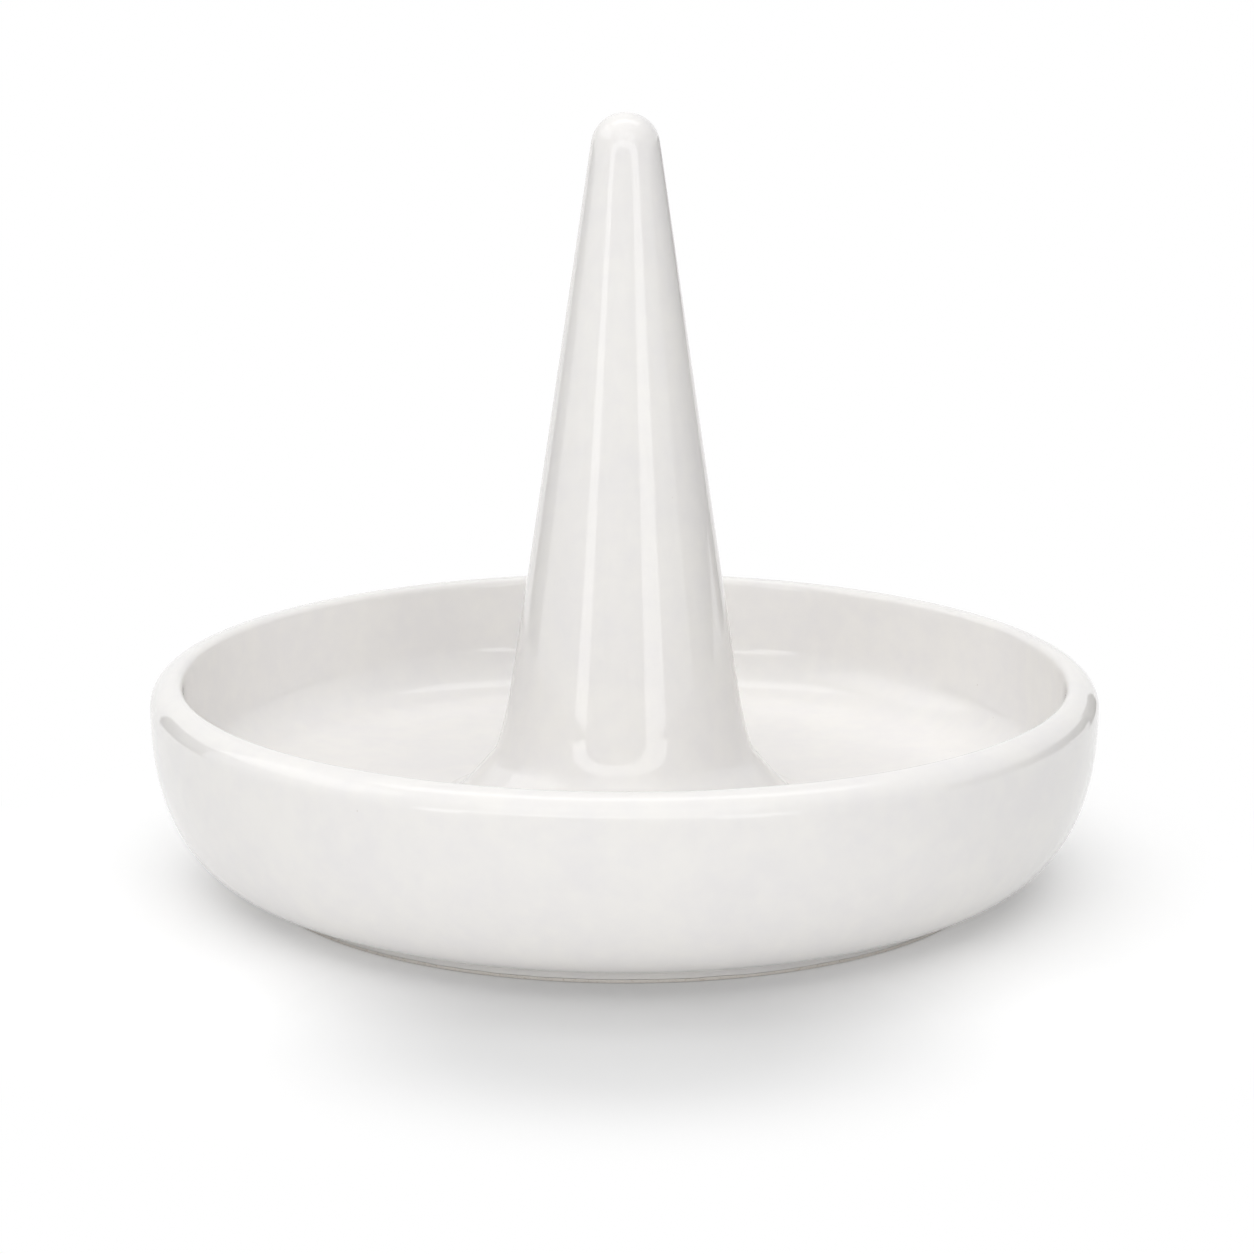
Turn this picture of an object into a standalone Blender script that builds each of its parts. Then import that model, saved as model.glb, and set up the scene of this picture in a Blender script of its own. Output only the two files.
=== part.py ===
"""Ring holder: a glazed stoneware dish with a tall hollow cone luted into the middle of its floor.

Metres, +Z up. The origin is the middle of the foot ring, on the plane that the dish stands on.
Every piece is turned about the Z axis, as it would be on a potter's wheel or in a round mould.
"""

import math

import bmesh
import bpy

# Dish: its outside
DISH_DIAMETER = 0.105
RIM_HEIGHT = 0.02305
WALL_THICKNESS = 0.0037
RIM_INNER_ROUND = 0.0009
RIM_ROLL_DROP = 0.00275
BELLY_FULLNESS_ACROSS = 2.0
BELLY_FULLNESS_DOWN = 2.38
FOOT_DIAMETER = 0.0818
FOOT_HEIGHT = 0.00175
FOOT_WIDTH = 0.0044
FOOT_FILLET = 0.0006
FOOT_EDGE_ROUND = 0.0004

# Dish: its inside and its underside
FLOOR_HEIGHT = 0.0081
FLOOR_RISE = math.radians(3.3)
CORNER_RADIUS = 0.0063
UNDERSIDE_RECESS = 0.0022
UNDERSIDE_CORNER = 0.0014
VENT_DIAMETER = 0.010

# Ring cone: heights are above the dish's floor
CONE_HEIGHT = 0.07705
CONE_DIAMETER = 0.0272
CONE_SIDE_SAG = 0.00012
CONE_WALL = 0.003
TIP_RADIUS = 0.0038
HOLLOW_END_RADIUS = 0.0012
FLARE_HEIGHT = 0.008
FLARE_RADIUS = 0.0058
SKIRT_SLOPE = math.radians(42.5)
SKIRT_BLEND_RADIUS = 0.0032
SKIRT_EDGE = 0.0015

# Slip that holds the cone in its seat
SLIP_THICKNESS = 0.0008
JOINT_GAP = 0.0003

# Finishes, as linear colours
GLAZE_COLOUR = (0.84, 0.82, 0.80)
GLAZE_ROUGHNESS = 0.12
CLAY_COLOUR = (0.78, 0.73, 0.66)
CLAY_ROUGHNESS = 0.75

# How finely the turned surfaces are cut into facets
FACETS = 72
WELD_DISTANCE = 0.00001
SHARP_ANGLE = math.radians(35)

# Radii of the dish that several of its stretches share
outer_radius = DISH_DIAMETER / 2
inner_radius = outer_radius - WALL_THICKNESS
foot_radius = FOOT_DIAMETER / 2

# The cone's side touches its round tip and leans out to the cone's diameter, where the flare starts.
cone_radius = CONE_DIAMETER / 2
side_rise = CONE_HEIGHT - TIP_RADIUS - FLARE_HEIGHT
side_lean = math.atan2(cone_radius, side_rise) - math.asin(TIP_RADIUS / math.hypot(cone_radius, side_rise))

# The flare turns from the side's lean to the skirt's slope. The hollow's flare has the same centre and lies
# one wall further from it.
flare_centre = (cone_radius + FLARE_RADIUS * math.cos(side_lean),
                FLARE_HEIGHT + FLARE_RADIUS * math.sin(side_lean))
hollow_flare_radius = FLARE_RADIUS + CONE_WALL

# Below the flare the skirt runs straight, then curves out to lie flush with the floor.
skirt_top = (flare_centre[0] - FLARE_RADIUS * math.cos(SKIRT_SLOPE),
             flare_centre[1] - FLARE_RADIUS * math.sin(SKIRT_SLOPE))
skirt_drop = skirt_top[1] - SKIRT_BLEND_RADIUS * (1 - math.sin(SKIRT_SLOPE))
skirt_radius = skirt_top[0] + skirt_drop * math.tan(SKIRT_SLOPE) + SKIRT_BLEND_RADIUS * math.cos(SKIRT_SLOPE)
hollow_mouth_drop = flare_centre[1] - hollow_flare_radius * math.sin(SKIRT_SLOPE) + SKIRT_EDGE
hollow_mouth_radius = (flare_centre[0] - hollow_flare_radius * math.cos(SKIRT_SLOPE)
                       + hollow_mouth_drop * math.tan(SKIRT_SLOPE))

# The seat is a round recess in the floor that takes the skirt's edge with the slip under it.
seat_radius = skirt_radius + JOINT_GAP
seat_height = FLOOR_HEIGHT - SKIRT_EDGE - SLIP_THICKNESS - 2 * JOINT_GAP


def arc(centre, radii, start, end, steps):
    """Points on an ellipse's arc from one angle to another, both ends included. Radii are (across, up)."""
    angles = [start + (end - start) * i / steps for i in range(steps + 1)]
    return [(centre[0] + radii[0] * math.cos(a), centre[1] + radii[1] * math.sin(a)) for a in angles]


def round_arc(centre, radius, start, end, steps):
    return arc(centre, (radius, radius), start, end, steps)


def turned(name, outline, closed, material, height):
    """One piece turned from (radius, height) points, standing at its height on the Z axis.

    A closed outline is the section of a ring. An open one starts and ends on the axis.
    """
    shape = bmesh.new()
    points = [shape.verts.new((radius, 0, z)) for radius, z in outline]
    edges = [shape.edges.new(pair) for pair in zip(points, points[1:])]
    if closed:
        edges.append(shape.edges.new((points[-1], points[0])))
    bmesh.ops.spin(shape, geom=points + edges, axis=(0, 0, 1), cent=(0, 0, 0),
                   angle=math.tau, steps=FACETS, use_merge=True)
    bmesh.ops.remove_doubles(shape, verts=shape.verts, dist=WELD_DISTANCE)
    bmesh.ops.recalc_face_normals(shape, faces=shape.faces)
    mesh = bpy.data.meshes.new(name)
    shape.to_mesh(mesh)
    shape.free()
    mesh.shade_smooth()
    mesh.set_sharp_from_angle(angle=SHARP_ANGLE)
    mesh.materials.append(material)
    piece = bpy.data.objects.new(name, mesh)
    piece.location.z = height
    bpy.context.collection.objects.link(piece)


def finish(name, colour, roughness):
    """A fired ceramic surface, which is never metallic."""
    material = bpy.data.materials.new(name)
    material.use_nodes = True
    shader = material.node_tree.nodes["Principled BSDF"]
    shader.inputs["Base Color"].default_value = (*colour, 1)
    shader.inputs["Roughness"].default_value = roughness
    shader.inputs["Metallic"].default_value = 0
    return material


def dish_outside():
    """From the rim's crest, over its rolled outer edge and down the belly to the foot ring's flat face."""
    widest_height = RIM_HEIGHT - RIM_ROLL_DROP
    roll_width = WALL_THICKNESS - RIM_INNER_ROUND
    points = arc((outer_radius - roll_width, widest_height), (roll_width, RIM_ROLL_DROP), math.pi / 2, 0, 5)

    belly_start = foot_radius + FOOT_FILLET
    belly_width = outer_radius - belly_start
    belly_drop = widest_height - FOOT_HEIGHT
    belly_steps = 10
    for i in range(1, belly_steps + 1):
        angle = math.pi / 2 * (1 - i / belly_steps)
        radius = belly_start + belly_width * math.sin(angle) ** (2 / BELLY_FULLNESS_ACROSS)
        height = widest_height - belly_drop * math.cos(angle) ** (2 / BELLY_FULLNESS_DOWN)
        points.append((radius, height))

    points += round_arc((belly_start, FOOT_HEIGHT - FOOT_FILLET), FOOT_FILLET, math.pi / 2, math.pi, 3)[1:]
    points += round_arc((foot_radius - FOOT_EDGE_ROUND, FOOT_EDGE_ROUND), FOOT_EDGE_ROUND, 0, -math.pi / 2, 2)
    return points


def dish_underside():
    """From the foot ring's inner edge over the recessed underside, up the vent and across the seat."""
    foot_inner = foot_radius - FOOT_WIDTH
    corner = (foot_inner - UNDERSIDE_CORNER, UNDERSIDE_RECESS - UNDERSIDE_CORNER)
    vent_radius = VENT_DIAMETER / 2
    points = [(foot_inner, 0)]
    points += round_arc(corner, UNDERSIDE_CORNER, 0, math.pi / 2, 3)
    points += [(vent_radius, UNDERSIDE_RECESS), (vent_radius, seat_height), (seat_radius, seat_height)]
    return points


def dish_inside():
    """From the seat's edge out over the gently rising floor, round the corner and up the wall to the rim."""
    corner_centre = inner_radius - CORNER_RADIUS
    corner_start = corner_centre + CORNER_RADIUS * math.sin(FLOOR_RISE)
    rise = (corner_start - seat_radius) * math.tan(FLOOR_RISE)
    corner_height = FLOOR_HEIGHT + rise + CORNER_RADIUS * math.cos(FLOOR_RISE)
    rim_centre = (inner_radius + RIM_INNER_ROUND, RIM_HEIGHT - RIM_INNER_ROUND)
    points = [(seat_radius, FLOOR_HEIGHT)]
    points += round_arc((corner_centre, corner_height), CORNER_RADIUS, FLOOR_RISE - math.pi / 2, 0, 7)
    points += round_arc(rim_centre, RIM_INNER_ROUND, math.pi, math.pi / 2, 3)[:-1]
    return points


def cone_outside():
    """From the middle of the tip down the side, round the flare and down the skirt to its edge."""
    cap = round_arc((0, CONE_HEIGHT - TIP_RADIUS), TIP_RADIUS, math.pi / 2, side_lean, 6)
    points = [(0, CONE_HEIGHT)] + cap[1:]
    top_radius, top_height = cap[-1]
    side_steps = 4
    for i in range(1, side_steps):
        along = i / side_steps
        sag = 4 * CONE_SIDE_SAG * along * (1 - along)
        radius = top_radius + (cone_radius - top_radius) * along - sag
        points.append((radius, top_height + (FLARE_HEIGHT - top_height) * along))
    points += round_arc(flare_centre, FLARE_RADIUS, math.pi + side_lean, math.pi + SKIRT_SLOPE, 4)
    points += round_arc((skirt_radius, SKIRT_BLEND_RADIUS), SKIRT_BLEND_RADIUS,
                        math.pi + SKIRT_SLOPE, math.pi * 3 / 2, 3)
    points.append((skirt_radius, -SKIRT_EDGE))
    return points


def cone_hollow():
    """From the hollow's mouth under the skirt up to its round end inside the tip."""
    flare = round_arc(flare_centre, hollow_flare_radius, math.pi + SKIRT_SLOPE, math.pi + side_lean, 3)
    foot_radius_inside, foot_height_inside = flare[-1]
    end_rise = (foot_radius_inside - HOLLOW_END_RADIUS / math.cos(side_lean)) / math.tan(side_lean)
    end_height = foot_height_inside + end_rise
    end = round_arc((0, end_height), HOLLOW_END_RADIUS, side_lean, math.pi / 2, 3)
    return [(hollow_mouth_radius, -SKIRT_EDGE)] + flare + end[:-1] + [(0, end_height + HOLLOW_END_RADIUS)]


def slip_section():
    """The flat ring of slip under the skirt, from the hollow's mouth to the edge. Height 0 is its base."""
    outer = skirt_radius - JOINT_GAP
    inner = hollow_mouth_radius + JOINT_GAP
    return [(outer, SLIP_THICKNESS), (outer, 0), (inner, 0), (inner, SLIP_THICKNESS)]


for old in list(bpy.data.objects):
    bpy.data.objects.remove(old, do_unlink=True)

dish_glaze = finish("dish_gloss_glaze", GLAZE_COLOUR, GLAZE_ROUGHNESS)
cone_glaze = finish("cone_gloss_glaze", GLAZE_COLOUR, GLAZE_ROUGHNESS)
bare_clay = finish("bare_fired_clay", CLAY_COLOUR, CLAY_ROUGHNESS)

turned("dish", dish_outside() + dish_underside() + dish_inside(), True, dish_glaze, 0)
turned("ring_cone", cone_outside() + cone_hollow(), False, cone_glaze, FLOOR_HEIGHT)
turned("luting_slip", slip_section(), True, bare_clay, seat_height + JOINT_GAP)
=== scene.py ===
"""The looks of a ring holder: a white glazed dish with a tall cone in its middle, on a pale studio floor."""
import math

import bmesh
import bpy
from mathutils import Matrix, Vector


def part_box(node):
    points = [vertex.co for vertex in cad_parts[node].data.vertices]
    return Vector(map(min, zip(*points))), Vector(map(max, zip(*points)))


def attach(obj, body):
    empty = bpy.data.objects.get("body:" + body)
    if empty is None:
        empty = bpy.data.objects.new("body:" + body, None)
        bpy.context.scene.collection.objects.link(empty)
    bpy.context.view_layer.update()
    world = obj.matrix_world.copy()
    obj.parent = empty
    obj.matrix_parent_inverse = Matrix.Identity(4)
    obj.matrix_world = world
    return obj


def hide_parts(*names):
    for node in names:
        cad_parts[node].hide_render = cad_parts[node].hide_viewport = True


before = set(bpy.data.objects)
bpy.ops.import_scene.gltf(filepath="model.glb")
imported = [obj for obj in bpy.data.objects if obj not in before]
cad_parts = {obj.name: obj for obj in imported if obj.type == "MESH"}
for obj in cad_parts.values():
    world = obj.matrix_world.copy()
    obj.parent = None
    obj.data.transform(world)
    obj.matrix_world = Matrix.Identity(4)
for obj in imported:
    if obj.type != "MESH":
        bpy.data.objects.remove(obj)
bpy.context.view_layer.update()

MM = 0.001

# Camera
# A long lens looks a little down on the dish from the front. Its place and tilt were fitted to the rim,
# the foot and the cone's outline, and it leans by a hair, as the photograph does.
camera_lens = 122.35
camera_distance = 472 * MM
camera_pitch = 13.35
camera_roll = 0.126
camera_target = Vector((0.26, 0, 28.13)) * MM

bpy.ops.object.camera_add()
camera = bpy.context.object
camera.data.lens = camera_lens
turn = (Matrix.Rotation(math.radians(90 - camera_pitch), 4, "X")
        @ Matrix.Rotation(math.radians(camera_roll), 4, "Z"))
back = turn.to_3x3() @ Vector((0, 0, 1))
camera.matrix_world = Matrix.Translation(camera_target + back * camera_distance) @ turn
bpy.context.scene.camera = camera
bpy.context.scene.view_settings.view_transform = "Standard"

# Dish
# A shallow round bowl of white stoneware, jiggered in a mould and glazed all over but for the foot ring
# that it stands on. A round seat in its floor takes the cone, and a hole below lets the kiln's air out.
dish_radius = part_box("dish")[1].x
rim_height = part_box("dish")[1].z
wall = 3.7 * MM
rim_inner_round = 0.9 * MM
rim_roll_drop = 2.75 * MM
belly_fullness_across = 2.0
belly_fullness_down = 2.38
foot_radius = 40.9 * MM
foot_height = 1.75 * MM
foot_width = 4.4 * MM
foot_fillet = 0.6 * MM
foot_edge_round = 0.4 * MM
recess_height = 2.2 * MM
recess_corner = 1.4 * MM
vent_radius = 5 * MM
vent_edge_round = 0.5 * MM
seat_height = 5.2 * MM
floor_height = 8.1 * MM
floor_rise = 3.3
trough_corner = 6.3 * MM
skirt_blend = 3.2 * MM
skirt_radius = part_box("ring_cone")[1].x

# The glaze hides the joint between cone and dish, so both surfaces end on one ring and share their slope.
joint_radius = skirt_radius + skirt_blend * math.sin(math.radians(floor_rise))
joint_height = floor_height + skirt_blend * (1 - math.cos(math.radians(floor_rise)))
joint_overlap = 0.05 * MM
joint_lip = 1 * MM

SIDES = 80
SMOOTHING = 2
WELD = 0.004 * MM
SHARP = math.radians(40)
# Smoothing draws a ring of this many sides in by a small share, so each ring starts as much wider.
swell = 3 / (2 + math.cos(math.tau / SIDES))


def arc(centre, radii, start, end, steps):
    """Points on an ellipse's arc between two angles in degrees. Radii are (across, up)."""
    angles = [math.radians(start + (end - start) * i / steps) for i in range(steps + 1)]
    return [(centre[0] + radii[0] * math.cos(a), centre[1] + radii[1] * math.sin(a)) for a in angles]


def round_arc(centre, radius, start, end, steps):
    return arc(centre, (radius, radius), start, end, steps)


def line(start, end, steps):
    """The points between two places, with the last one and without the first."""
    shares = [i / steps for i in range(1, steps + 1)]
    return [(start[0] + (end[0] - start[0]) * s, start[1] + (end[1] - start[1]) * s) for s in shares]


def throw(name, outline, capped):
    """Draws a ring along an outline of (radius, height) points, as clay is drawn up on a wheel.

    A capped ring carries a disc along, which closes both ends. Otherwise the last ring meets the first.
    """
    radius, height = outline[0]
    bpy.ops.object.select_all(action="DESELECT")
    bpy.ops.mesh.primitive_circle_add(vertices=SIDES, radius=radius * swell, location=(0, 0, height),
                                      fill_type="TRIFAN" if capped else "NOTHING", enter_editmode=True)
    for (radius, height), (next_radius, next_height) in zip(outline, outline[1:]):
        share = next_radius / radius
        bpy.ops.mesh.extrude_region_move(TRANSFORM_OT_translate={"value": (0, 0, next_height - height)})
        bpy.ops.transform.resize(value=(share, share, 1), center_override=(0, 0, next_height))
    bpy.ops.mesh.select_all(action="SELECT")
    bpy.ops.mesh.remove_doubles(threshold=WELD)
    bpy.ops.mesh.normals_make_consistent(inside=False)
    bpy.ops.object.mode_set(mode="OBJECT")
    bpy.ops.object.transform_apply(location=True, rotation=False, scale=False)
    piece = bpy.context.object
    piece.name = name
    piece.data.name = name
    return piece


def crease_ring(piece, radius, height):
    """Keeps one ring of edges sharp when the piece is smoothed."""
    bpy.ops.object.mode_set(mode="EDIT")
    bpy.ops.mesh.select_mode(type="EDGE")
    bpy.ops.mesh.select_all(action="DESELECT")
    cage = bmesh.from_edit_mesh(piece.data)
    for edge in cage.edges:
        far = max(math.hypot(end.co.xy.length - radius * swell, end.co.z - height) for end in edge.verts)
        edge.select = far < WELD
    bmesh.update_edit_mesh(piece.data)
    bpy.ops.transform.edge_crease(value=1)
    bpy.ops.object.mode_set(mode="OBJECT")


def smooth(piece):
    """Rounds the drawn rings off into one soft surface, as wet clay and melted glaze do."""
    bpy.ops.object.modifier_add(type="SUBSURF")
    rounding = piece.modifiers[-1]
    rounding.levels = SMOOTHING
    rounding.render_levels = SMOOTHING
    bpy.ops.object.modifier_apply(modifier=rounding.name)
    bpy.ops.object.shade_smooth_by_angle(angle=SHARP)


def finish_inside(piece, material, is_inside):
    """Gives the faces that is_inside picks, by their middle and normal, a second finish."""
    piece.data.materials.append(material)
    for face in piece.data.polygons:
        if is_inside(face.center, face.normal):
            face.material_index = len(piece.data.materials) - 1


# The outside runs from the rim's crest over the rolled edge and down the belly to the foot ring.
inner_radius = dish_radius - wall
roll_width = wall - rim_inner_round
widest_height = rim_height - rim_roll_drop
belly_foot = foot_radius + foot_fillet
dish_outline = arc((dish_radius - roll_width, widest_height), (roll_width, rim_roll_drop), 90, 0, 6)
belly_steps = 11
for i in range(1, belly_steps + 1):
    angle = math.radians(90) * (1 - i / belly_steps)
    across = math.sin(angle) ** (2 / belly_fullness_across)
    down = math.cos(angle) ** (2 / belly_fullness_down)
    dish_outline.append((belly_foot + (dish_radius - belly_foot) * across,
                         widest_height - (widest_height - foot_height) * down))
dish_outline += round_arc((belly_foot, foot_height - foot_fillet), foot_fillet, 90, 180, 3)[1:]

# The foot ring's flat face, the glazed recess inside it and the vent come next.
foot_inner = foot_radius - foot_width
dish_outline += round_arc((foot_radius - foot_edge_round, foot_edge_round), foot_edge_round, 0, -90, 2)
dish_outline += line(dish_outline[-1], (foot_inner + foot_edge_round, 0), 2)
dish_outline += round_arc((foot_inner + foot_edge_round, foot_edge_round), foot_edge_round, -90, -180, 2)[1:]
dish_outline += round_arc((foot_inner - recess_corner, recess_height - recess_corner),
                          recess_corner, 0, 90, 3)
vent_mouth = (vent_radius + vent_edge_round, recess_height + vent_edge_round)
dish_outline += line(dish_outline[-1], (vent_mouth[0], recess_height), 3)
dish_outline += round_arc(vent_mouth, vent_edge_round, -90, -180, 2)[1:]
dish_outline += line(dish_outline[-1], (vent_radius, seat_height - vent_edge_round), 1)
dish_outline += [(vent_radius + vent_edge_round, seat_height)]

# The seat and the joint lie under the cone's skirt.
dish_outline += line(dish_outline[-1], (joint_radius - joint_overlap, seat_height), 2)
dish_outline += [(joint_radius - joint_overlap, joint_height - joint_lip), (joint_radius, joint_height)]

# The floor rises gently to the trough's round corner, and the wall goes straight up to the rim.
corner_centre = inner_radius - trough_corner
corner_start = corner_centre + trough_corner * math.sin(math.radians(floor_rise))
corner_rise = (corner_start - joint_radius) * math.tan(math.radians(floor_rise))
corner_height = joint_height + corner_rise + trough_corner * math.cos(math.radians(floor_rise))
dish_corner = round_arc((corner_centre, corner_height), trough_corner, floor_rise - 90, 0, 6)
dish_outline += line(dish_outline[-1], dish_corner[0], 6) + dish_corner[1:]
rim_centre = (inner_radius + rim_inner_round, rim_height - rim_inner_round)
dish_outline += line(dish_outline[-1], (inner_radius, rim_centre[1]), 3)
dish_outline += round_arc(rim_centre, rim_inner_round, 180, 90, 3)[1:]

dish = throw("stoneware_dish", dish_outline, capped=False)
crease_ring(dish, joint_radius, joint_height)
smooth(dish)


def linear(code):
    """An sRGB hex colour as the linear colour that a shader takes."""
    parts = [int(code[i:i + 2], 16) / 255 for i in (1, 3, 5)]
    return (*(p / 12.92 if p <= 0.04045 else ((p + 0.055) / 1.055) ** 2.4 for p in parts), 1)


def add(material, kind, inputs, **settings):
    """Adds a node, with its settings, and gives each input a value or a link."""
    node = material.node_tree.nodes.new(kind)
    for name, value in settings.items():
        setattr(node, name, value)
    for name, value in inputs.items():
        if isinstance(value, bpy.types.NodeSocket):
            material.node_tree.links.new(value, node.inputs[name])
        else:
            node.inputs[name].default_value = value
    return node


def new_finish(name):
    """A material with its shader, and the place on the piece that its patterns read."""
    material = bpy.data.materials.new(name)
    material.use_nodes = True
    place = add(material, "ShaderNodeTexCoord", {}).outputs["Object"]
    return material, material.node_tree.nodes["Principled BSDF"], place


def join(material, shader, **sockets):
    for name, socket in sockets.items():
        material.node_tree.links.new(socket, shader.inputs[name.replace("_", " ")])


# Fired stoneware clay, left bare where the piece stands or is joined. It is a warm matt white with a fine
# sandy tooth, and small darker grains of the clay show in it.
CLAY_COLOUR = "#EFEAE3"
CLAY_GRAIN_COLOUR = "#DDD4C8"
clay_grain = 0.35 * MM
clay_tooth = 0.012 * MM
clay_grain_from = 0.56
clay_grain_to = 0.72
CLAY_ROUGHNESS = 0.8


def clay_body(material, place):
    """Colour and relief of the bare clay."""
    grain = add(material, "ShaderNodeTexNoise",
                {"Vector": place, "Scale": 1 / clay_grain, "Detail": 3, "Roughness": 0.6}).outputs["Fac"]
    spots = add(material, "ShaderNodeMapRange",
                {"Value": grain, "From Min": clay_grain_from, "From Max": clay_grain_to}).outputs[0]
    colour = add(material, "ShaderNodeMix", {0: spots, 6: linear(CLAY_COLOUR), 7: linear(CLAY_GRAIN_COLOUR)},
                 data_type="RGBA").outputs[2]
    relief = add(material, "ShaderNodeMath", {0: grain, 1: clay_tooth}, operation="MULTIPLY").outputs[0]
    return colour, relief


# White tin glaze over stoneware: a clear glossy skin that melted and set, so it mirrors the lamps sharply
# with a faint ripple. Its white drifts a little between warm and cool, and a few tiny pale specks show.
GLAZE_WARM = "#F5F3F0"
GLAZE_COOL = "#F1EFEE"
GLAZE_SPECK = "#D8D3CC"
GLAZE_IOR = 1.5
GLAZE_ROUGHNESS = 0.045
glaze_cloud = 2.4 * MM
glaze_drift = 11 * MM
glaze_warm_from = 0.38
glaze_warm_to = 0.62
speck_spacing = 5 * MM
speck_size = 0.13 * MM
ripple_length = 9 * MM
ripple_height = 0.010 * MM
peel_length = 0.9 * MM
peel_height = 0.0004 * MM


def glaze_coat(material, place):
    """Colour and relief of the glaze."""
    cloud = add(material, "ShaderNodeTexNoise",
                {"Vector": place, "Scale": 1 / glaze_cloud, "Detail": 4}).outputs["Fac"]
    drift = add(material, "ShaderNodeTexNoise",
                {"Vector": place, "Scale": 1 / glaze_drift, "Detail": 1}).outputs["Fac"]
    both = add(material, "ShaderNodeMix", {0: 0.5, 2: cloud, 3: drift}).outputs[0]
    warmth = add(material, "ShaderNodeMapRange",
                 {"Value": both, "From Min": glaze_warm_from, "From Max": glaze_warm_to}).outputs[0]
    white = add(material, "ShaderNodeMix", {0: warmth, 6: linear(GLAZE_COOL), 7: linear(GLAZE_WARM)},
                data_type="RGBA").outputs[2]
    cells = add(material, "ShaderNodeTexVoronoi", {"Vector": place, "Scale": 1 / speck_spacing})
    near = add(material, "ShaderNodeMapRange",
               {"Value": cells.outputs["Distance"], "From Min": speck_size / speck_spacing,
                "From Max": 0}).outputs[0]
    colour = add(material, "ShaderNodeMix", {0: near, 6: white, 7: linear(GLAZE_SPECK)},
                 data_type="RGBA").outputs[2]
    ripple = add(material, "ShaderNodeTexNoise",
                 {"Vector": place, "Scale": 1 / ripple_length, "Detail": 0}).outputs["Fac"]
    peel = add(material, "ShaderNodeTexNoise",
               {"Vector": place, "Scale": 1 / peel_length, "Detail": 1}).outputs["Fac"]
    waves = add(material, "ShaderNodeMath", {0: ripple, 1: ripple_height}, operation="MULTIPLY").outputs[0]
    relief = add(material, "ShaderNodeMath", {0: peel, 1: peel_height, 2: waves},
                 operation="MULTIPLY_ADD").outputs[0]
    return colour, relief


# On the dish the glaze stops in a slightly wavering line just above the foot ring's face.
glaze_line = 0.5 * MM
line_waver = 0.25 * MM
line_waver_length = 4 * MM
line_softness = 0.04 * MM
glaze_thickness = 0.12 * MM

dish_finish, dish_shader, dish_place = new_finish("white_glaze_with_bare_foot")
clay_colour, clay_relief = clay_body(dish_finish, dish_place)
glaze_colour, glaze_relief = glaze_coat(dish_finish, dish_place)
height = add(dish_finish, "ShaderNodeSeparateXYZ", {0: dish_place}).outputs["Z"]
waver = add(dish_finish, "ShaderNodeTexNoise",
            {"Vector": dish_place, "Scale": 1 / line_waver_length}).outputs["Fac"]
lifted = add(dish_finish, "ShaderNodeMath", {0: waver, 1: -line_waver, 2: height},
             operation="MULTIPLY_ADD").outputs[0]
edge = glaze_line - line_waver / 2
glazed = add(dish_finish, "ShaderNodeMapRange",
             {"Value": lifted, "From Min": edge - line_softness, "From Max": edge + line_softness},
             interpolation_type="SMOOTHSTEP").outputs[0]
step = add(dish_finish, "ShaderNodeMath", {0: glazed, 1: glaze_thickness, 2: glaze_relief},
           operation="MULTIPLY_ADD").outputs[0]
relief = add(dish_finish, "ShaderNodeMix", {0: glazed, 2: clay_relief, 3: step}).outputs[0]
join(dish_finish, dish_shader,
     Base_Color=add(dish_finish, "ShaderNodeMix", {0: glazed, 6: clay_colour, 7: glaze_colour},
                    data_type="RGBA").outputs[2],
     Roughness=add(dish_finish, "ShaderNodeMix",
                   {0: glazed, 2: CLAY_ROUGHNESS, 3: GLAZE_ROUGHNESS}).outputs[0],
     Normal=add(dish_finish, "ShaderNodeBump", {"Height": relief, "Distance": 1}).outputs[0])
dish_shader.inputs["IOR"].default_value = GLAZE_IOR
dish.data.materials.append(dish_finish)

bare_clay, clay_shader, clay_place = new_finish("bare_fired_stoneware")
clay_colour, clay_relief = clay_body(bare_clay, clay_place)
join(bare_clay, clay_shader, Base_Color=clay_colour,
     Normal=add(bare_clay, "ShaderNodeBump", {"Height": clay_relief, "Distance": 1}).outputs[0])
clay_shader.inputs["Roughness"].default_value = CLAY_ROUGHNESS
finish_inside(dish, bare_clay,
              lambda middle, normal: middle.xy.length < joint_radius and middle.z > vent_mouth[1])

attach(dish, "root")
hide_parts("dish")

# Ring cone
# A hollow slip-cast cone of the same clay, with a round tip and a flared skirt. It was luted into the
# dish's seat while both were damp, then glazed with it, so the glaze runs from one to the other.
cone_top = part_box("ring_cone")[1].z
cone_sag = 0.04 * MM
tip_radius = 3.8 * MM
tip_pole = 0.3 * MM
hollow_end = 1.2 * MM
side_end = (12.38 * MM, 23 * MM)
skirt_slope = 42.5
skirt_edge = 1.5 * MM

# The toe bends out in steps, each given by the height in mm where it ends, its slope there and its rings.
toe_slope = 8.5
toe_bends = ((19, 11, 2), (16.1, 15, 3), (14.75, 19.4, 3), (13.6, 36, 4), (13.3, skirt_slope, 1))


def bend(start, slope, end_height, end_slope, steps):
    """Points down a side whose slope turns evenly from one angle to another by the time it ends."""
    radius, height = start
    drop = (height - end_height) / steps
    points = []
    for i in range(steps):
        turned = slope + (end_slope - slope) * (i + 0.5) / steps
        radius += drop * math.tan(math.radians(turned))
        height -= drop
        points.append((radius, height))
    return points


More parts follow.
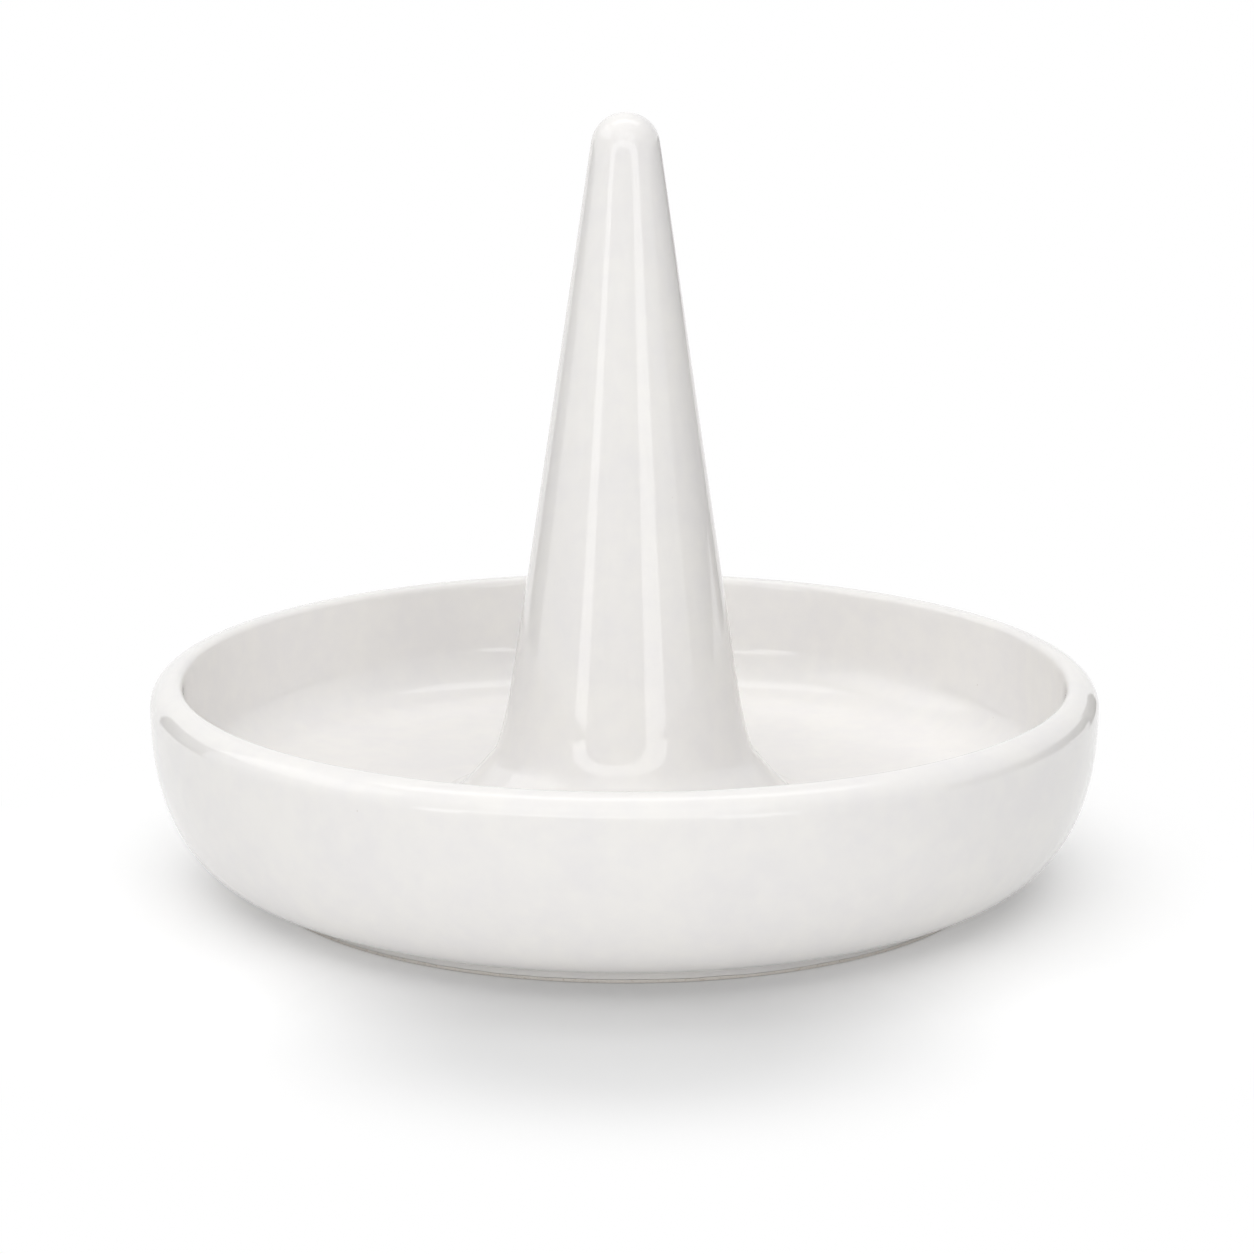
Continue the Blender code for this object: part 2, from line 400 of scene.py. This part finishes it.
# The side runs almost straight from the round tip, then swells out slowly, and ever faster, into the skirt.
side_rise = cone_top - tip_radius - side_end[1]
side_lean = math.degrees(math.atan2(side_end[0], side_rise)
                         - math.asin(tip_radius / math.hypot(side_end[0], side_rise)))
tip_turn = math.degrees(math.asin(tip_pole / tip_radius))
cone_outline = round_arc((0, cone_top - tip_radius), tip_radius, 90 - tip_turn, side_lean, 7)
side_top = cone_outline[-1]
side_steps = 8
for i in range(1, side_steps + 1):
    share = i / side_steps
    sag = 4 * cone_sag * share * (1 - share)
    cone_outline.append((side_top[0] + (side_end[0] - side_top[0]) * share - sag,
                         side_top[1] + (side_end[1] - side_top[1]) * share))
for end_height, end_slope, steps in toe_bends:
    cone_outline += bend(cone_outline[-1], toe_slope, end_height * MM, end_slope, steps)
    toe_slope = end_slope
cone_outline += round_arc((skirt_radius, floor_height + skirt_blend), skirt_blend,
                          180 + skirt_slope, 270 + floor_rise, 3)

# Below the joint the edge turns in under the glaze, and the hollow follows the outside one wall further in.
cone_outline += [(joint_radius + joint_overlap, joint_height - joint_lip),
                 (joint_radius, floor_height - skirt_edge)]
hollow_flare = 8.8 * MM
flare_centre = (19.34 * MM, 16.95 * MM)
hollow_outline = round_arc(flare_centre, hollow_flare, 180 + skirt_slope, 180 + side_lean, 3)
mouth_drop = hollow_outline[0][1] - (floor_height - skirt_edge)
cone_outline.append((hollow_outline[0][0] + mouth_drop * math.tan(math.radians(skirt_slope)),
                     floor_height - skirt_edge))
end_rise = ((hollow_outline[-1][0] - hollow_end / math.cos(math.radians(side_lean)))
            / math.tan(math.radians(side_lean)))
hollow_tip = round_arc((0, hollow_outline[-1][1] + end_rise), hollow_end, side_lean, 90 - tip_turn, 3)
cone_outline += hollow_outline + line(hollow_outline[-1], hollow_tip[0], 4) + hollow_tip[1:]

cone = throw("stoneware_ring_cone", cone_outline, capped=True)
crease_ring(cone, joint_radius, joint_height)
smooth(cone)

cone_finish, cone_shader, cone_place = new_finish("white_glaze")
glaze_colour, glaze_relief = glaze_coat(cone_finish, cone_place)
join(cone_finish, cone_shader, Base_Color=glaze_colour,
     Normal=add(cone_finish, "ShaderNodeBump", {"Height": glaze_relief, "Distance": 1}).outputs[0])
cone_shader.inputs["Roughness"].default_value = GLAZE_ROUGHNESS
cone_shader.inputs["IOR"].default_value = GLAZE_IOR
cone.data.materials.append(cone_finish)
finish_inside(cone, bare_clay,
              lambda middle, normal: middle.z < joint_height or middle.xy.dot(normal.xy) < 0)

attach(cone, "root")
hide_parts("ring_cone")

# Luting slip
# A thin ring of liquid clay, brushed into the seat before the cone was pressed in. It has squeezed into
# soft edges and was fired with the rest, and it only shows through the vent.
slip_low, slip_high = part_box("luting_slip")
slip_inner = 17.19 * MM
slip_round = 0.25 * MM
slip_outline = []
for corner, start in (((slip_high.x - slip_round, slip_high.z - slip_round), 90),
                      ((slip_high.x - slip_round, slip_low.z + slip_round), 0),
                      ((slip_inner + slip_round, slip_low.z + slip_round), -90),
                      ((slip_inner + slip_round, slip_high.z - slip_round), -180)):
    slip_outline += round_arc(corner, slip_round, start, start - 90, 2)
slip_outline.append(slip_outline[0])

slip = throw("luting_slip_ring", slip_outline, capped=False)
smooth(slip)
slip.data.materials.append(bare_clay)
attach(slip, "root")
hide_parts("luting_slip")

# Floor
# A matt white tabletop that runs out of sight. Round the dish it shows its own white and the dish's shadow,
# with a painted shadow, a soft grey patch, in front of the dish, and further off it glows with the
# backdrop's white.
FLOOR_COLOUR = "#F2F2F2"
# The grey of the painted shadow in front of the dish.
PAINTED_SHADOW_COLOUR = "#C0C0C0"
floor_size = 1.8
dish_middle = (0, -15 * MM, 0)
shadow_reach = 45 * MM
white_reach = 85 * MM
painted_shadow_middle = (0, -58 * MM, 0)
painted_shadow_full_reach = 12 * MM
painted_shadow_end = 48 * MM
near_glow = 0.2
ROUND_SIDES = 96


def seen_rays(material):
    """1 where the camera sees the surface, also in a mirror or through glass, and 0 where it sheds light."""
    rays = add(material, "ShaderNodeLightPath", {}).outputs
    seen = add(material, "ShaderNodeMath", {0: rays["Is Camera Ray"], 1: rays["Is Glossy Ray"]},
               operation="MAXIMUM").outputs[0]
    return add(material, "ShaderNodeMath", {0: seen, 1: rays["Is Transmission Ray"]},
               operation="MAXIMUM").outputs[0]


bpy.ops.object.select_all(action="DESELECT")
bpy.ops.mesh.primitive_circle_add(vertices=ROUND_SIDES, radius=floor_size, fill_type="NGON")
tabletop = bpy.context.object
tabletop.name = "pale_tabletop"
table_finish, table_shader, table_place = new_finish("pale_matt_tabletop")
seen = seen_rays(table_finish)
away = add(table_finish, "ShaderNodeVectorMath", {0: table_place, 1: dish_middle},
           operation="DISTANCE").outputs["Value"]
far = add(table_finish, "ShaderNodeMapRange",
          {"Value": away, "From Min": shadow_reach, "From Max": white_reach},
          interpolation_type="SMOOTHSTEP").outputs[0]
# Painted shadow: toward a spot in front of the dish, the floor that the camera sees turns from its white to
# grey.
painted_shadow_distance = add(table_finish, "ShaderNodeVectorMath", {0: table_place, 1: painted_shadow_middle},
            operation="DISTANCE").outputs["Value"]
front = add(table_finish, "ShaderNodeMapRange",
            {"Value": painted_shadow_distance, "From Min": painted_shadow_end, "From Max": painted_shadow_full_reach},
            interpolation_type="SMOOTHSTEP").outputs[0]
glow = add(table_finish, "ShaderNodeMix", {0: far, 2: near_glow, 3: 1}).outputs[0]
shown = add(table_finish, "ShaderNodeMath", {0: glow, 1: seen}, operation="MULTIPLY").outputs[0]
# The seen floor's colour, with the painted shadow mixed in.
near = add(table_finish, "ShaderNodeMix", {0: front, 6: linear(FLOOR_COLOUR), 7: linear(PAINTED_SHADOW_COLOUR)},
           data_type="RGBA").outputs[2]
look = add(table_finish, "ShaderNodeMix", {0: far, 6: near, 7: (0, 0, 0, 1)}, data_type="RGBA").outputs[2]
surface = add(table_finish, "ShaderNodeMix", {0: seen, 6: linear(FLOOR_COLOUR), 7: look},
              data_type="RGBA").outputs[2]
join(table_finish, table_shader, Base_Color=surface, Emission_Strength=shown)
table_shader.inputs["Emission Color"].default_value = (1, 1, 1, 1)
table_shader.inputs["Roughness"].default_value = 1
table_shader.inputs["Specular IOR Level"].default_value = 0
tabletop.data.materials.append(table_finish)

# Side cards
# Four felt cards stand on the table out of the picture: a long dark one at the right, continued to the front
# by a pale one, a small pale one close to the dish there, and a dark one at the left. They only show in the
# glaze, as the darker sides of the cone and the two grey leaves on the rim.
CARD_COLOUR = "#4A4744"
PALE_CARD_COLOUR = "#A09D98"
far_right_card = {"away": 0.36, "front": 0.06, "back": 0.75, "height": 0.115}
front_right_card = {"away": 0.36, "front": -0.1, "back": 0.06, "height": 0.115}
near_right_card = {"away": 0.12, "front": 0.09, "back": 0.17, "height": 0.05}
left_card = {"away": -0.2, "front": 0.05, "back": 0.2, "height": 0.09}

for name, colour, size in (("far_right_card", CARD_COLOUR, far_right_card),
                           ("front_right_card", PALE_CARD_COLOUR, front_right_card),
                           ("near_right_card", PALE_CARD_COLOUR, near_right_card),
                           ("left_card", CARD_COLOUR, left_card)):
    felt = bpy.data.materials.new(name + "_felt")
    felt.use_nodes = True
    felt_shader = felt.node_tree.nodes["Principled BSDF"]
    felt_shader.inputs["Base Color"].default_value = linear(colour)
    felt_shader.inputs["Roughness"].default_value = 1
    middle = (size["away"], (size["front"] + size["back"]) / 2, size["height"] / 2)
    bpy.ops.object.select_all(action="DESELECT")
    bpy.ops.mesh.primitive_plane_add(size=1, enter_editmode=True)
    bpy.ops.transform.resize(value=(size["height"], size["back"] - size["front"], 1))
    bpy.ops.transform.rotate(value=math.radians(90), orient_axis="Y", center_override=(0, 0, 0))
    bpy.ops.transform.translate(value=middle)
    bpy.ops.object.mode_set(mode="OBJECT")
    card = bpy.context.object
    card.name = name
    card.visible_camera = False
    card.visible_diffuse = False
    card.visible_shadow = False
    card.data.materials.append(felt)

# Backdrop and lamps
# A white sweep surrounds the table. The light comes from a tall arched window round the camera, from a wide
# ceiling, and from soft panels in front, behind and at the left.
ROOM_LIGHT = 0.23

backdrop = bpy.data.worlds.new("white_sweep")
bpy.context.scene.world = backdrop
backdrop.use_nodes = True
strength = add(backdrop, "ShaderNodeMix", {0: seen_rays(backdrop), 2: ROOM_LIGHT, 3: 1}).outputs[0]
sweep_shader = backdrop.node_tree.nodes["Background"]
sweep_shader.inputs["Color"].default_value = (1, 1, 1, 1)
join(backdrop, sweep_shader, Strength=strength)

lamp_target = Vector((0, 0, 0.04))


def hang_lamp(name, place, width, height, brightness):
    """A soft panel that faces the dish. Its power follows from its size, so brightness is what shows."""
    panel = bpy.data.lights.new(name, "AREA")
    panel.shape = "RECTANGLE"
    panel.size = width
    panel.size_y = height
    panel.energy = brightness * math.pi * width * height
    lamp = bpy.data.objects.new(name, panel)
    bpy.context.collection.objects.link(lamp)
    lamp.location = place
    lamp.rotation_euler = (lamp_target - Vector(place)).to_track_quat("-Z", "Y").to_euler()


def toward(azimuth, elevation, distance):
    """A place as seen from the dish: degrees to the right of the camera, degrees up, and metres away."""
    azimuth = math.radians(azimuth)
    elevation = math.radians(elevation)
    out = distance * math.cos(elevation)
    return (out * math.sin(azimuth), -out * math.cos(azimuth), distance * math.sin(elevation))


# The window is a white arch with legs, as wide as the view from the dish. The camera looks through it, and
# the cone mirrors its legs as two strips and its arch as the U on the flare.
window_distance = 1.8
window_azimuth = -6.25
WINDOW_BRIGHTNESS = 3
arch_foot = 0.36
opening = {"middle": -0.082, "half": 0.991, "crown": 0.504}
window_edge = {"middle": 0.127, "half": 1.817, "crown": 0.816}

bpy.ops.object.select_all(action="DESELECT")
bpy.ops.mesh.primitive_circle_add(vertices=ROUND_SIDES, radius=1, fill_type="NOTHING", enter_editmode=True)
opening_rise = opening["crown"] - arch_foot
edge_rise = window_edge["crown"] - arch_foot
bpy.ops.transform.resize(value=(opening["half"], opening_rise, 1), center_override=(0, 0, 0))
bpy.ops.mesh.extrude_region_move()
bpy.ops.transform.resize(value=(window_edge["half"] / opening["half"], edge_rise / opening_rise, 1),
                         center_override=(0, 0, 0))
bpy.ops.transform.translate(value=(window_edge["middle"] - opening["middle"], 0, 0))
bpy.ops.mesh.select_all(action="SELECT")
bpy.ops.transform.translate(value=(opening["middle"], arch_foot, 0))
bpy.ops.mesh.bisect(plane_co=(0, arch_foot, 0), plane_no=(0, 1, 0), clear_inner=True)
window = bpy.context.object
bpy.ops.mesh.select_mode(type="EDGE")
bpy.ops.mesh.select_all(action="DESELECT")
cage = bmesh.from_edit_mesh(window.data)
for edge in cage.edges:
    edge.select = all(abs(end.co.y - arch_foot) < 1 * MM for end in edge.verts)
bmesh.update_edit_mesh(window.data)
bpy.ops.mesh.extrude_region_move(TRANSFORM_OT_translate={"value": (0, -arch_foot, 0)})
bpy.ops.object.mode_set(mode="OBJECT")
window.name = "arched_window"
window.data.transform(Matrix.Rotation(math.radians(window_azimuth), 4, "Z")
                      @ Matrix.Translation((0, -window_distance, 0))
                      @ Matrix.Rotation(math.radians(90), 4, "X"))
window.visible_camera = False
window.visible_shadow = False
glass = bpy.data.materials.new("bright_window")
glass.use_nodes = True
glass_shader = glass.node_tree.nodes["Principled BSDF"]
glass_shader.inputs["Base Color"].default_value = (0, 0, 0, 1)
glass_shader.inputs["Specular IOR Level"].default_value = 0
glass_shader.inputs["Emission Color"].default_value = (1, 1, 1, 1)
glass_shader.inputs["Emission Strength"].default_value = WINDOW_BRIGHTNESS
window.data.materials.append(glass)

hang_lamp("front_panel", toward(0, 41, 1.05), width=1.1, height=0.6, brightness=0.8)
hang_lamp("rear_boom", toward(180, 80, 0.92), width=1, height=0.26, brightness=1.5)
hang_lamp("ceiling", toward(0, 89.9, 0.95), width=1.6, height=1.4, brightness=0.9)
hang_lamp("left_window", toward(-95, 40, 1.1), width=0.9, height=0.5, brightness=1)

# The ceiling is lit too evenly to show in the glaze.
bpy.data.objects["ceiling"].visible_glossy = False
